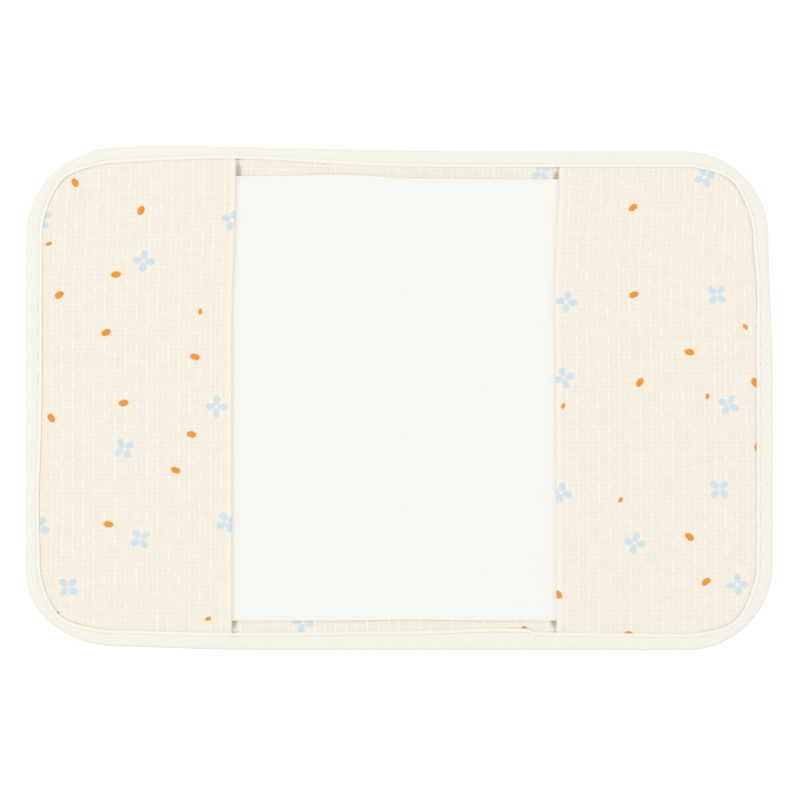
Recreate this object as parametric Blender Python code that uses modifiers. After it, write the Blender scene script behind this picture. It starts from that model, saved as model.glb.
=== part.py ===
"""Padded cloth cover for a booklet, laid open, with two side pockets and the folded sheet that they hold.

Metres, +Z up. The origin lies under the middle of the fold, on the surface that the cover rests on.
+X runs across the open cover, from the left half to the right half.
"""

import math

import bmesh
import bpy
from mathutils import Matrix, Vector

# The sheet that the cover is cut to hold
INSERT_LENGTH = 0.297
INSERT_HEIGHT = 0.210
INSERT_THICKNESS = 0.0004

# Room around the sheet, from the line where a pocket lies flat to the sheet's edge
HEAD_EASE = 0.0042
SIDE_EASE = 0.0182
POCKET_COVERS = 0.0715
CORNER_RADIUS = 0.041

# Cloth, wadding and tape
CLOTH = 0.0008
POCKET_CLOTH = 0.0012
WADDING_LOFT = 0.003
WADDING_PRESSED = 0.0008
TAPE_WIDTH = 0.008
TAPE_THICKNESS = 0.0005
TAPE_BEND = 0.002
THREAD = 0.0005
STITCH_INSET = 0.0021

# Runs over which a layer changes level
CROWN_RUN = 0.008
POCKET_RISE_RUN = 0.0015
MOUTH_STEP_RUN = 0.003

# Gaps between layers, and between the two halves at the fold
CLEARANCE = 0.0003
FOLD_GAP = 0.0003

# Facets
CORNER_STEPS = 9
CROWN_STEPS = 4
POCKET_RISE_STEPS = 2
BEND_STEPS = 6

# The seam: how far in from the edge the layers lie flat under the tape, and where a pocket is flat again
TAPE_EDGE = TAPE_WIDTH + CLEARANCE
POCKET_FLAT = TAPE_EDGE + POCKET_RISE_RUN
STITCH_LINE = TAPE_WIDTH - STITCH_INSET

# The cover's outline
SIDE_MARGIN = POCKET_FLAT + SIDE_EASE
HEAD_MARGIN = POCKET_FLAT + HEAD_EASE
COVER_WIDTH = INSERT_LENGTH + 2 * SIDE_MARGIN
COVER_HEIGHT = INSERT_HEIGHT + 2 * HEAD_MARGIN
POCKET_MOUTH = INSERT_LENGTH / 2 - POCKET_COVERS
TAPE_STEP_HIGH = POCKET_MOUTH - CLEARANCE
TAPE_STEP_LOW = TAPE_STEP_HIGH - MOUTH_STEP_RUN
TAPE_DROP = POCKET_CLOTH + CLEARANCE
FOLD_EDGE = FOLD_GAP / 2


def stack(start, thicknesses):
    """Levels (bottom, top) of layers laid one on another, a clearance apart."""
    levels = []
    bottom = start
    for thickness in thicknesses:
        levels.append((bottom, bottom + thickness))
        bottom += thickness + CLEARANCE
    return levels


# Levels of the layers in the padded field, and where the tape presses them together
FIELD = dict(
    zip(
        ("outer", "wadding", "lining", "insert", "pocket"),
        stack(0, (CLOTH, WADDING_LOFT, CLOTH, INSERT_THICKNESS, POCKET_CLOTH)),
    )
)
EDGE = dict(
    zip(
        ("bobbin", "tape_under", "outer", "wadding", "lining", "pocket", "tape_top", "needle"),
        stack(
            CLEARANCE,
            (
                THREAD,
                TAPE_THICKNESS,
                CLOTH,
                WADDING_PRESSED,
                CLOTH,
                POCKET_CLOTH,
                TAPE_THICKNESS,
                THREAD,
            ),
        ),
    )
)
FOLD_HEIGHT = max(EDGE["needle"][1], FIELD["pocket"][1]) + CLEARANCE / 2


def corner_radius():
    """The cover's corner radius, limited by the square corner of the sheet inside it."""
    seam = POCKET_FLAT + CLEARANCE
    reach = SIDE_MARGIN + HEAD_MARGIN - seam
    spare = 2 * (SIDE_MARGIN - seam) * (HEAD_MARGIN - seam)
    return min(CORNER_RADIUS, reach + math.sqrt(max(spare, 0)))


RADIUS = corner_radius()
CORNER_X = COVER_WIDTH / 2 - RADIUS
CORNER_Y = COVER_HEIGHT / 2 - RADIUS


def clear_scene():
    for old in list(bpy.data.objects):
        bpy.data.objects.remove(old)


def make_material(name, colour, roughness):
    material = bpy.data.materials.new(name)
    material.use_nodes = True
    shader = material.node_tree.nodes["Principled BSDF"]
    shader.inputs["Base Color"].default_value = (*colour, 1)
    shader.inputs["Roughness"].default_value = roughness
    shader.inputs["Metallic"].default_value = 0
    return material


def corner_arc(centre_x, centre_y, radius, start):
    """Points of a quarter circle, anticlockwise from the start angle."""
    points = []
    for step in range(CORNER_STEPS + 1):
        angle = start + math.pi / 2 * step / CORNER_STEPS
        x = centre_x + radius * math.cos(angle)
        y = centre_y + radius * math.sin(angle)
        points.append(Vector((x, y, 0)))
    return points


def cover_outline(inset):
    """The whole cover's rounded outline, anticlockwise, drawn in by an inset."""
    radius = RADIUS - inset
    points = []
    for quarter, (sign_x, sign_y) in enumerate(((1, 1), (-1, 1), (-1, -1), (1, -1))):
        start = quarter * math.pi / 2
        points += corner_arc(sign_x * CORNER_X, sign_y * CORNER_Y, radius, start)
    return points


def half_seam(inset):
    """The left half's edge from the fold at the foot, round both corners, to the fold at the head."""
    radius = RADIUS - inset
    foot = -COVER_HEIGHT / 2 + inset
    stations = (-FOLD_EDGE, -TAPE_STEP_LOW, -TAPE_STEP_HIGH)
    straight = [Vector((x, foot, 0)) for x in stations]
    lower = list(reversed(corner_arc(-CORNER_X, -CORNER_Y, radius, math.pi)))
    upper = list(reversed(corner_arc(-CORNER_X, CORNER_Y, radius, math.pi / 2)))
    head = [Vector((p.x, -p.y, 0)) for p in reversed(straight)]
    return straight + lower + upper + head


def tape_drop(x):
    """How far the tape lies lower between the pockets, where there is no pocket cloth under it."""
    share = (TAPE_STEP_HIGH - abs(x)) / MOUTH_STEP_RUN
    return TAPE_DROP * min(max(share, 0), 1)


def ease(share):
    return share * share * (3 - 2 * share)


def inset(bm, face, width, depth):
    bmesh.ops.inset_individual(bm, faces=[face], thickness=width, depth=depth, use_even_offset=True)


def swell(bm, face, run, rise, steps):
    """Inset a flat face in steps whose heights follow a soft S from its own level to that level plus the rise."""
    for step in range(steps):
        share = ease((step + 1) / steps) - ease(step / steps)
        inset(bm, face, run / steps, rise * share)


def mirror_to_right(bm):
    bmesh.ops.scale(bm, vec=(-1, 1, 1), verts=bm.verts)
    bmesh.ops.reverse_faces(bm, faces=bm.faces)


def mesh_object(name, bm, side, material, parent, collection):
    if side == "right":
        mirror_to_right(bm)
    mesh = bpy.data.meshes.new(name)
    bm.to_mesh(mesh)
    bm.free()
    return place(bpy.data.objects.new(f"{name}_{side}", mesh), material, parent, collection)


def place(part, material, parent, collection):
    part.data.materials.append(material)
    collection.objects.link(part)
    if parent is not None:
        part.parent = parent
        part.matrix_parent_inverse = Matrix.Translation(parent.location).inverted()
    return part


def cloth_layer(name, side, levels, cut_at, run, steps, material, parent, collection):
    """A layer that is flat under the tape and swells to its field level over a run, cut off at the fold or mouth."""
    edge = EDGE[levels]
    field = FIELD[levels]
    bm = bmesh.new()
    bottom = bm.faces.new([bm.verts.new(p) for p in cover_outline(TAPE_BEND)])
    bmesh.ops.translate(bm, vec=(0, 0, edge[0]), verts=bm.verts)
    grown = bmesh.ops.extrude_face_region(bm, geom=[bottom])["geom"]
    top = next(item for item in grown if isinstance(item, bmesh.types.BMFace))
    bmesh.ops.translate(bm, vec=(0, 0, edge[1] - edge[0]), verts=top.verts)
    bmesh.ops.recalc_face_normals(bm, faces=bm.faces)
    for face, rise in ((bottom, edge[0] - field[0]), (top, field[1] - edge[1])):
        inset(bm, face, TAPE_EDGE - TAPE_BEND, 0)
        swell(bm, face, run, rise, steps)
    whole = bm.verts[:] + bm.edges[:] + bm.faces[:]
    plane = (-cut_at, 0, 0)
    cut = bmesh.ops.bisect_plane(bm, geom=whole, plane_co=plane, plane_no=(1, 0, 0), clear_outer=True)
    rim = [item for item in cut["geom_cut"] if isinstance(item, bmesh.types.BMEdge)]
    bmesh.ops.edgeloop_fill(bm, edges=rim)
    bmesh.ops.recalc_face_normals(bm, faces=bm.faces)
    return mesh_object(name, bm, side, material, parent, collection)


def tape_section():
    """The tape's outer face across the seam, as (inset, height), from the underside round the edge to the top."""
    low = EDGE["tape_under"][0]
    high = EDGE["tape_top"][1]
    middle = (low + high) / 2
    section = [(TAPE_WIDTH, low)]
    for step in range(BEND_STEPS + 1):
        angle = math.pi * step / BEND_STEPS
        reach = TAPE_BEND * (1 - math.sin(angle))
        section.append((reach, middle - (high - low) / 2 * math.cos(angle)))
    section.append((TAPE_WIDTH, high))
    return section


def binding(side, material, parent, collection):
    """The bias tape folded over the edge: its section drawn along the half's edge, then given its thickness."""
    bm = bmesh.new()
    section = tape_section()
    foot = -COVER_HEIGHT / 2
    chain = [bm.verts.new((-FOLD_EDGE, foot + reach, height)) for reach, height in section]
    edges = [bm.edges.new(pair) for pair in zip(chain, chain[1:])]

    def along(shift):
        grown = bmesh.ops.extrude_edge_only(bm, edges=edges)["geom"]
        moved = [item for item in grown if isinstance(item, bmesh.types.BMVert)]
        bmesh.ops.translate(bm, vec=shift, verts=moved)
        return [item for item in grown if isinstance(item, bmesh.types.BMEdge)]

    def around(centre_y):
        turned = bmesh.ops.spin(
            bm,
            geom=edges,
            cent=(-CORNER_X, centre_y, 0),
            axis=(0, 0, 1),
            angle=-math.pi / 2,
            steps=CORNER_STEPS,
        )["geom_last"]
        return [item for item in turned if isinstance(item, bmesh.types.BMEdge)]

    stations = (FOLD_EDGE, TAPE_STEP_LOW, TAPE_STEP_HIGH, CORNER_X)
    lengths = [far - near for near, far in zip(stations, stations[1:])]
    for length in lengths:
        edges = along((-length, 0, 0))
    edges = around(-CORNER_Y)
    edges = along((0, 2 * CORNER_Y, 0))
    edges = around(CORNER_Y)
    for length in reversed(lengths):
        edges = along((length, 0, 0))
    bmesh.ops.remove_doubles(bm, verts=bm.verts, dist=CLEARANCE / 100)

    middle = (EDGE["tape_under"][0] + EDGE["tape_top"][1]) / 2
    for vert in bm.verts:
        share = (vert.co.z - middle) / (EDGE["tape_top"][1] - middle)
        vert.co.z -= tape_drop(vert.co.x) * max(share, 0)
    bmesh.ops.recalc_face_normals(bm, faces=bm.faces)
    part = mesh_object("binding", bm, side, material, parent, collection)
    thickness = part.modifiers.new("tape_thickness", "SOLIDIFY")
    thickness.thickness = TAPE_THICKNESS
    thickness.offset = -1
    thickness.use_even_offset = True
    return part


def seam_thread(name, side, level, drops, material, parent, collection):
    """One of the two threads of the topstitch, lying along the tape at the stitch line."""
    height = sum(EDGE[level]) / 2
    curve = bpy.data.curves.new(name, "CURVE")
    curve.dimensions = "3D"
    curve.bevel_depth = THREAD / 2
    curve.bevel_resolution = 1
    curve.use_fill_caps = True
    points = half_seam(STITCH_LINE)
    spline = curve.splines.new("POLY")
    spline.points.add(len(points) - 1)
    sign = 1 if side == "left" else -1
    for point, place_at in zip(spline.points, points):
        drop = tape_drop(place_at.x) if drops else 0
        point.co = (sign * place_at.x, place_at.y, height - drop, 1)
    return place(bpy.data.objects.new(f"{name}_{side}", curve), material, parent, collection)


def insert_leaf(side, material, parent, collection):
    """One leaf of the folded sheet, from the fold to its end inside the pocket."""
    bottom, top = FIELD["insert"]
    length = INSERT_LENGTH / 2 - FOLD_EDGE
    bm = bmesh.new()
    bmesh.ops.create_cube(bm, size=1)
    bmesh.ops.scale(bm, vec=(length, INSERT_HEIGHT, top - bottom), verts=bm.verts)
    middle = (-(FOLD_EDGE + length / 2), 0, (bottom + top) / 2)
    bmesh.ops.translate(bm, vec=middle, verts=bm.verts)
    return mesh_object("insert_leaf", bm, side, material, parent, collection)


def build_half(side, materials, parent, collection):
    home = (parent, collection)
    crown = (CROWN_RUN, CROWN_STEPS)
    rise = (POCKET_RISE_RUN, POCKET_RISE_STEPS)
    cloth_layer("outer_panel", side, "outer", FOLD_EDGE, *crown, materials["outer_cloth"], *home)
    cloth_layer("wadding", side, "wadding", FOLD_EDGE, *crown, materials["wadding_fibre"], *home)
    cloth_layer("lining", side, "lining", FOLD_EDGE, *crown, materials["lining_cloth"], *home)
    cloth_layer("pocket", side, "pocket", POCKET_MOUTH, *rise, materials["pocket_cloth"], *home)
    binding(side, materials["binding_tape"], *home)
    seam_thread("binding_needle_thread", side, "needle", True, materials["seam_thread"], *home)
    seam_thread("binding_bobbin_thread", side, "bobbin", False, materials["seam_thread"], *home)
    insert_leaf(side, materials["insert_paper"], *home)


def main():
    clear_scene()
    collection = bpy.data.collections.new("booklet_cover")
    bpy.context.scene.collection.children.link(collection)
    materials = {
        "outer_cloth": make_material("outer_cloth", (0.92, 0.86, 0.75), 0.9),
        "wadding_fibre": make_material("wadding_fibre", (0.93, 0.92, 0.89), 0.95),
        "lining_cloth": make_material("lining_cloth", (0.91, 0.85, 0.74), 0.9),
        "pocket_cloth": make_material("pocket_cloth", (0.92, 0.86, 0.75), 0.9),
        "binding_tape": make_material("binding_tape", (0.92, 0.89, 0.81), 0.85),
        "seam_thread": make_material("seam_thread", (0.93, 0.90, 0.82), 0.7),
        "insert_paper": make_material("insert_paper", (0.94, 0.93, 0.88), 0.8),
    }
    fold = bpy.data.objects.new("spine_fold_axis", None)
    fold.location = (0, 0, FOLD_HEIGHT)
    collection.objects.link(fold)
    build_half("left", materials, None, collection)
    build_half("right", materials, fold, collection)


main()
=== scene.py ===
"""The padded booklet cover's looks: waffle cotton, bias binding, topstitching and the sheet in its pockets.

Metres, +Z up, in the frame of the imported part. Each cloth piece keeps a map of its flat cut, in metres, so
that its weave and print stay on it when the cover folds.
"""

import math

import bmesh
import bpy
import numpy as np
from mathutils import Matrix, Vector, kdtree


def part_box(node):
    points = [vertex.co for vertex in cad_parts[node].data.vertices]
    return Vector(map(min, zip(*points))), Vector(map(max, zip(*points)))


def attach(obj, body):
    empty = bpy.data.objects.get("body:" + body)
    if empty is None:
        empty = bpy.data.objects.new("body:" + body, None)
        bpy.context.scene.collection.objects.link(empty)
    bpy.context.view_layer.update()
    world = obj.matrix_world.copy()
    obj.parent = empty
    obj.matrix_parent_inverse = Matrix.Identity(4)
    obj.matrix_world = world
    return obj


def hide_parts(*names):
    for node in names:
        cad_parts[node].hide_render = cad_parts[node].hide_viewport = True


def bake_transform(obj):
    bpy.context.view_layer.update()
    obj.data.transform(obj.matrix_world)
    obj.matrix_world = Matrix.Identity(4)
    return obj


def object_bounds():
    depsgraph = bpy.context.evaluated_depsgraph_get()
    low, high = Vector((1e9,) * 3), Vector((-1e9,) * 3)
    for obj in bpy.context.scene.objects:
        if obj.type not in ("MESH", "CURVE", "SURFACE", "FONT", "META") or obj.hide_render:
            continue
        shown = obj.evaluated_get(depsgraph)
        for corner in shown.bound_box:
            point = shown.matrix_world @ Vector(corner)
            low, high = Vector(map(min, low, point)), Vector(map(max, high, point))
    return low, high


bl_info = {
    "name": "Padded booklet cover",
    "version": (1, 0, 0),
    "blender": (4, 5, 0),
    "location": "3D View > Sidebar > Booklet cover",
    "description": "Dresses a folding booklet cover with cloth, binding, stitches and a paper insert",
    "category": "Add Mesh",
}

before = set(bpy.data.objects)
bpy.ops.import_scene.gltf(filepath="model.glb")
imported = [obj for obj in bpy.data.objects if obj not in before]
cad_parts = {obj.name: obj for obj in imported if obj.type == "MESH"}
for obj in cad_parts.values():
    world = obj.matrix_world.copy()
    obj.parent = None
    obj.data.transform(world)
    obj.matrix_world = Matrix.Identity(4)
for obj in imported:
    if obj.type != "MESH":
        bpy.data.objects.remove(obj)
CAD_BOX = [list(corner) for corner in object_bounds()]


def heights(node):
    """A node's lowest and highest levels."""
    low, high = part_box(node)
    return low.z, high.z


MM = 0.001
TURN = 2 * math.pi
LEFT = "left_half"
RIGHT = "right_half"
FLAT_MAP = "flat_cloth"

# The frame's own places
HALF_WIDTH, HALF_HEIGHT = CAD_BOX[1][:2]
OUTER_LOW, OUTER_EDGE_HIGH = heights("outer_panel_left")
WADDING_LOW, WADDING_HIGH = heights("wadding_left")
LINING_EDGE_LOW, LINING_HIGH = heights("lining_left")
INSERT_HIGH = heights("insert_leaf_left")[1]
POCKET_HIGH = heights("pocket_left")[1]
TAPE_LOW, TAPE_HIGH = heights("binding_left")
INSERT_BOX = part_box("insert_leaf_left")
INSERT_HALF_LENGTH = -INSERT_BOX[0].x
INSERT_HALF_HEIGHT = INSERT_BOX[1].y
POCKET_MOUTH = -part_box("pocket_left")[1].x

# How far the layers stop short of the cover's edge
CLOTH_TRIM = 3 * MM

# How far inside the binding the padding, the cloth and the weave's relief reach their full height
PADDED_LOFT = 8 * MM
CLOTH_LOFT = 4 * MM
RELIEF_RUN = 2 * MM

# Where each cloth was cut from the printed length, and how the lining's own map is shifted
OUTER_PRINT = (0.4495, 0.17)
LINING_PRINT = (0.62, 0.41)
LINING_MAP = (0.11, 0.05)
POCKET_PRINTS = {"left": (0.02, 0.03), "right": (0.27, 0.21)}

# The print's flowers and seeds: how far apart they lie, how large they are and how far a flower may be turned
BLOSSOM_PITCH = (41 * MM, 47 * MM)
PETAL_REACH = 5.2 * MM
PETAL_SPIN = 6.28
SEED_PITCH = (33 * MM, 29 * MM)
SEED_START = (13 * MM, 9 * MM)
SMALL_SEED = 0.95 * MM
LARGE_SEED = 1.55 * MM
SEED_TO_BLOSSOM = 8 * MM

# Softboxes: the place and the size in metres, and the power in watts
LAMPS = {
    "overhead": ((-0.1, 0.4, 2.15), (1.6, 1.2), 5.5),
    "left_strip": ((-2.5, 0.2, 2.7), (0.6, 2.4), 18),
    "right_strip": ((2.8, 0.2, 1.7), (1.4, 2.4), 8),
}

# The camera: its height above the binding, the width and the middle of what it sees, and its sensor in mm
CAMERA_ABOVE = 1.5
SEEN_WIDTH = 377.05 * MM
SEEN_MIDDLE = (0.33 * MM, -0.71 * MM)
SENSOR_WIDTH = 36

UNDOABLE = {"REGISTER", "UNDO"}


def length_prop(name, description, default):
    return bpy.props.FloatProperty(
        name=name, description=description, default=default, unit="LENGTH", precision=5
    )


def colour_prop(name, description, default):
    return bpy.props.FloatVectorProperty(
        name=name, description=description, default=default, size=3, min=0, max=1, subtype="COLOR"
    )


class CoverSizes(bpy.types.PropertyGroup):
    corner_radius: length_prop("Corner radius", "Radius of the cover's corners", 41 * MM)
    fold_band: length_prop("Fold band", "Half the width that bends when the cover closes", 9 * MM)
    waffle_width: length_prop("Waffle width", "Width of a cell of the weave", 5.0 * MM)
    waffle_height: length_prop("Waffle height", "Height of a cell of the weave", 4.4 * MM)
    waffle_depth: length_prop("Waffle depth", "Height of the weave's ridges above its hollows", 0.22 * MM)
    pocket_thickness: length_prop("Pocket thickness", "Thickness of the doubled cloth, pressed", 0.6 * MM)
    pocket_roll: length_prop("Pocket roll", "Height of the roll at a pocket's folded mouth", 1.9 * MM)
    tape_width: length_prop("Tape width", "Usual width of the binding on each face", 8.1 * MM)
    tape_turn: length_prop("Tape turn", "Thickness of the binding where its edge is turned under", 0.6 * MM)
    tape_drop: length_prop("Tape drop", "How much lower the binding lies between the pockets", 1.5 * MM)
    stitch_inset: length_prop("Stitch inset", "From the binding's inner edge to the stitches", 1.8 * MM)
    stitch_pitch: length_prop("Stitch pitch", "From one stitch to the next", 2.74 * MM)
    thread: length_prop("Thread", "Diameter of the sewing thread", 0.42 * MM)
    paper: length_prop("Paper", "Thickness of the insert sheet", 0.35 * MM)


class CoverColours(bpy.types.PropertyGroup):
    # The cloth and hollow colours differ as painted light and shade of the weave's relief: the hollows'
    # colour is painted shade
    cloth: colour_prop("Cloth", "Raised threads of the waffle cotton", (0.956, 0.905, 0.795))
    hollow_shade: colour_prop("Cloth hollows", "Hollows of the waffle cotton", (0.839, 0.775, 0.661))
    fleck: colour_prop("Flecks", "Seed flecks in the cotton", (0.55, 0.40, 0.24))
    blossom: colour_prop("Blossoms", "Pale flowers of the print", (0.60, 0.74, 0.82))
    seed: colour_prop("Seeds", "Small warm marks of the print", (0.87, 0.29, 0.015))
    tape: colour_prop("Tape", "Bias binding", (0.903, 0.877, 0.790))
    thread: colour_prop("Thread", "Sewing thread", (0.955, 0.915, 0.83))
    paper: colour_prop("Paper", "Insert sheet", (0.890, 0.882, 0.843))
    fibre: colour_prop("Fibre", "Wadding", (0.92, 0.91, 0.88))


# Shapes that the pieces share


def smooth(low, high, value):
    """From 0 at low to 1 at high, with soft ends."""
    share = np.clip((value - low) / (high - low), 0, 1)
    return share * share * (3 - 2 * share)


def bell(distance, reach):
    """From 1 at no distance down to nothing well past the reach."""
    return np.exp(-((distance / reach) ** 2))


def blend_value(share, start, end):
    return start + (end - start) * share


def edge_inset(x, y, radius):
    """How far points lie in from the cover's rounded edge."""
    past_x = np.abs(x) - (HALF_WIDTH - radius)
    past_y = np.abs(y) - (HALF_HEIGHT - radius)
    outside = np.hypot(np.maximum(past_x, 0), np.maximum(past_y, 0))
    inside = np.minimum(np.maximum(past_x, past_y), 0)
    return radius - outside - inside


def drawn_in(x, y, least, radius):
    """Moves points that lie too near the edge in to the least inset, and says which were inside it."""
    nudge = 0.01 * MM
    inset = edge_inset(x, y, radius)
    slope_x = (edge_inset(x + nudge, y, radius) - inset) / nudge
    slope_y = (edge_inset(x, y + nudge, radius) - inset) / nudge
    short = np.maximum(least - inset, 0)
    return x + slope_x * short, y + slope_y * short, inset > least


def ripple(x, y, wavelength, seed, waves=5):
    """A smooth wandering between -1 and 1, from a few crossed waves of about this length."""
    draw = np.random.default_rng(seed)
    total = 0
    for _ in range(waves):
        heading, phase = draw.uniform(0, TURN, 2)
        pace = TURN / (wavelength * draw.uniform(0.7, 1.5))
        total = total + np.sin((x * math.cos(heading) + y * math.sin(heading)) * pace + phase)
    return total / waves


# How the cover was laid down: its head is lower and slopes, its foot rises at the left, its right leans in
HEAD_DROP = 0.8 * MM
HEAD_SLOPE = 1.2 * MM
FOOT_RISE = 1.3 * MM
SIDE_LEAN = 2.1 * MM

# Where it was laid slack or stretched: the place, how far it moved there and how far that reaches, in mm
SLACK = (
    (-176, 119, 0.85, -0.85, 35),
    (-152, 117, 0, -0.9, 20),
    (-172, -100, -1.3, 0, 20),
    (-145, -117, 0, 0.75, 24),
)


def as_laid(x, y):
    """Points of the sewn cover moved to where the cover, laid down a little askew, has them."""
    head_share = np.clip(y / HALF_HEIGHT, 0, 1)
    foot_share = np.clip(-y / HALF_HEIGHT, 0, 1)
    right_share = np.clip(x / HALF_WIDTH, 0, 1)
    slope = np.sin(np.clip((x + 40 * MM) / (80 * MM), -1, 1) * math.pi / 2)
    head = -HEAD_DROP - HEAD_SLOPE * slope
    foot = FOOT_RISE * smooth(-60 * MM, -130 * MM, x)
    shift_x = -SIDE_LEAN * smooth(10 * MM, 80 * MM, y) * right_share
    shift_y = head * head_share + foot * foot_share
    for place_x, place_y, along_x, along_y, reach in SLACK:
        share = MM * bell(np.hypot(x - place_x * MM, y - place_y * MM), reach * MM)
        shift_x = shift_x + along_x * share
        shift_y = shift_y + along_y * share
    return x + shift_x, y + shift_y


def comb(position, cell):
    """Ridges of the weave across one direction: a high one, then a lower one half a cell on."""
    lower = 0.65
    wave = 0.5 + 0.5 * np.cos(TURN * position / cell)
    return np.maximum(wave**3, lower * (1 - wave) ** 3)


def waffle(u, v, sizes):
    """Height of the waffle weave, from 0 in its hollows to its depth on the ridges."""
    ridges = np.maximum(comb(u, sizes.waffle_width), comb(v, sizes.waffle_height))
    uneven = 0.8 + 0.2 * ripple(u, v, 9 * MM, seed=3)
    return sizes.waffle_depth * ridges * uneven


def spaced(start, end, step):
    """Values from start to end, as near as can be to a step apart."""
    return np.linspace(start, end, max(2, round(abs(end - start) / step) + 1))


def mesh_object(name, points, faces, flat):
    """A smooth mesh with a map of its flat cut."""
    mesh = bpy.data.meshes.new(name)
    mesh.from_pydata(points.tolist(), [], faces)
    corner_points = np.zeros(len(mesh.loops), dtype=np.int32)
    mesh.loops.foreach_get("vertex_index", corner_points)
    layer = mesh.uv_layers.new(name=FLAT_MAP)
    layer.data.foreach_set("uv", flat[corner_points].astype(np.float32).ravel())
    mesh.shade_smooth()
    piece = bpy.data.objects.new(name, mesh)
    bpy.context.scene.collection.objects.link(piece)
    return piece


def grid_object(name, x, y, z, flat, inside=True):
    """A sheet of quads over a grid of points, without the quads that lie wholly outside."""
    index = np.arange(x.size).reshape(x.shape)

    def corners(values):
        return values[:-1, :-1], values[:-1, 1:], values[1:, 1:], values[1:, :-1]

    kept = np.any(np.stack(corners(np.broadcast_to(inside, x.shape))), axis=0)
    quads = np.stack(corners(index), axis=-1)[kept]
    used, faces = np.unique(quads, return_inverse=True)
    points = np.stack([x, y, z], axis=-1).reshape(-1, 3)[used]
    return mesh_object(name, points, faces.reshape(-1, 4).tolist(), flat.reshape(-1, 2)[used])


def thicken(piece, thickness):
    """Gives a sheet its thickness, below its upper face.

    The rim's faces are made in no fixed order, so all faces are put in the order of their points.
    """
    bm = bmesh.new()
    bm.from_mesh(piece.data)
    bmesh.ops.solidify(bm, geom=bm.faces[:], thickness=thickness)
    bmesh.ops.recalc_face_normals(bm, faces=bm.faces)
    bm.verts.index_update()

    def rank(face):
        numbers = [vertex.index for vertex in face.verts]
        return min(numbers) * len(bm.verts) + max(numbers)

    bm.faces.sort(key=rank)
    bm.to_mesh(piece.data)
    bm.free()
    piece.data.set_sharp_from_angle(angle=math.radians(45))


def bend_at_fold(piece):
    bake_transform(piece)


def finish_piece(piece, material, slot, *nodes):
    piece.data.materials.append(material)
    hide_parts(*nodes)


def both(node):
    return f"{node}_left", f"{node}_right"


# Shader writing


class Signal:
    """A node's output socket. Arithmetic on it adds Math nodes."""

    def __init__(self, look, socket):
        self.look = look
        self.socket = socket

    def math(self, operation, *others):
        return self.look.maths(operation, self, *others)

    def __add__(self, other):
        return self.math("ADD", other)

    def __radd__(self, other):
        return self.look.maths("ADD", other, self)

    def __sub__(self, other):
        return self.math("SUBTRACT", other)

    def __rsub__(self, other):
        return self.look.maths("SUBTRACT", other, self)

    def __mul__(self, other):
        return self.math("MULTIPLY", other)

    def __rmul__(self, other):
        return self.look.maths("MULTIPLY", other, self)

    def __truediv__(self, other):
        return self.math("DIVIDE", other)

    def __rtruediv__(self, other):
        return self.look.maths("DIVIDE", other, self)

    def __pow__(self, other):
        return self.math("POWER", other)

    def __rpow__(self, other):
        return self.look.maths("POWER", other, self)


class Look:
    """A new material or world, with its nodes written as expressions that end in its shader."""

    def __init__(self, owner, shader="Principled BSDF"):
        owner.use_nodes = True
        self.owner = owner
        self.tree = owner.node_tree
        self.shader = self.tree.nodes[shader]

    def feed(self, socket, value):
        """Links a signal to a socket, or sets a number or colour on it."""
        if isinstance(value, Signal):
            self.tree.links.new(value.socket, socket)
        elif socket.type == "RGBA":
            socket.default_value = (*value, 1)
        else:
            socket.default_value = value

    def node(self, kind, settings=None, inputs=None, output=0):
        """Adds a node: its settings first, then the values or links of its sockets."""
        made = self.tree.nodes.new(kind)
        for name, value in (settings or {}).items():
            setattr(made, name, value)
        for key, value in (inputs or {}).items():
            self.feed(made.inputs[key], value)
        return Signal(self, made.outputs[output])

    def maths(self, operation, *values):
        return self.node("ShaderNodeMath", {"operation": operation}, dict(enumerate(values)))

    def mix(self, share, start, end):
        settings = {"data_type": "RGBA", "clamp_factor": True}
        return self.node("ShaderNodeMix", settings, {0: share, 6: start, 7: end}, output=2)

    def ramp(self, low, high, value):
        """From 0 at low to 1 at high, with soft ends."""
        settings = {"interpolation_type": "SMOOTHSTEP"}
        return self.node("ShaderNodeMapRange", settings, {"Value": value, "From Min": low, "From Max": high})

    def bars(self, position, pitch, share, phase=0.0):
        """1 within a share of each pitch, with soft sides, and 0 between."""
        wave = (position * (TURN / pitch) + TURN * phase).math("COSINE")
        return self.ramp(math.cos(math.pi * share * 1.35), math.cos(math.pi * share * 0.65), wave)

    def parts(self, vector):
        return [self.node("ShaderNodeSeparateXYZ", inputs={0: vector}, output=axis) for axis in range(3)]

    def join(self, x, y):
        return self.node("ShaderNodeCombineXYZ", inputs={0: x, 1: y})

    def flat(self):
        return self.node("ShaderNodeUVMap", {"uv_map": FLAT_MAP})

    def clouds(self, place, size, detail=2.0):
        """Soft noise around 0.5, with patches of about this size."""
        return self.node("ShaderNodeTexNoise", inputs={"Vector": place, "Scale": 1 / size, "Detail": detail})

    def chance(self, x, y):
        """Three random numbers for each whole-numbered place."""
        settings = {"noise_dimensions": "2D"}
        drawn = self.node("ShaderNodeTexWhiteNoise", settings, {"Vector": self.join(x, y)}, output=1)
        return self.parts(drawn)

    def bump(self, height, distance):
        return self.node("ShaderNodeBump", inputs={"Height": height, "Distance": distance})

    def finish(self, sockets):
        """Feeds the shader's own sockets, by name, and gives back the material or world."""
        for name, value in sockets.items():
            self.feed(self.shader.inputs[name], value)
        return self.owner


def new_material(name):
    return Look(bpy.data.materials.new(name))


def dimmed(colour, share):
    """A colour made darker, or paler up to white, by a share."""
    return [min(1, share * channel) for channel in colour]


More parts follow.
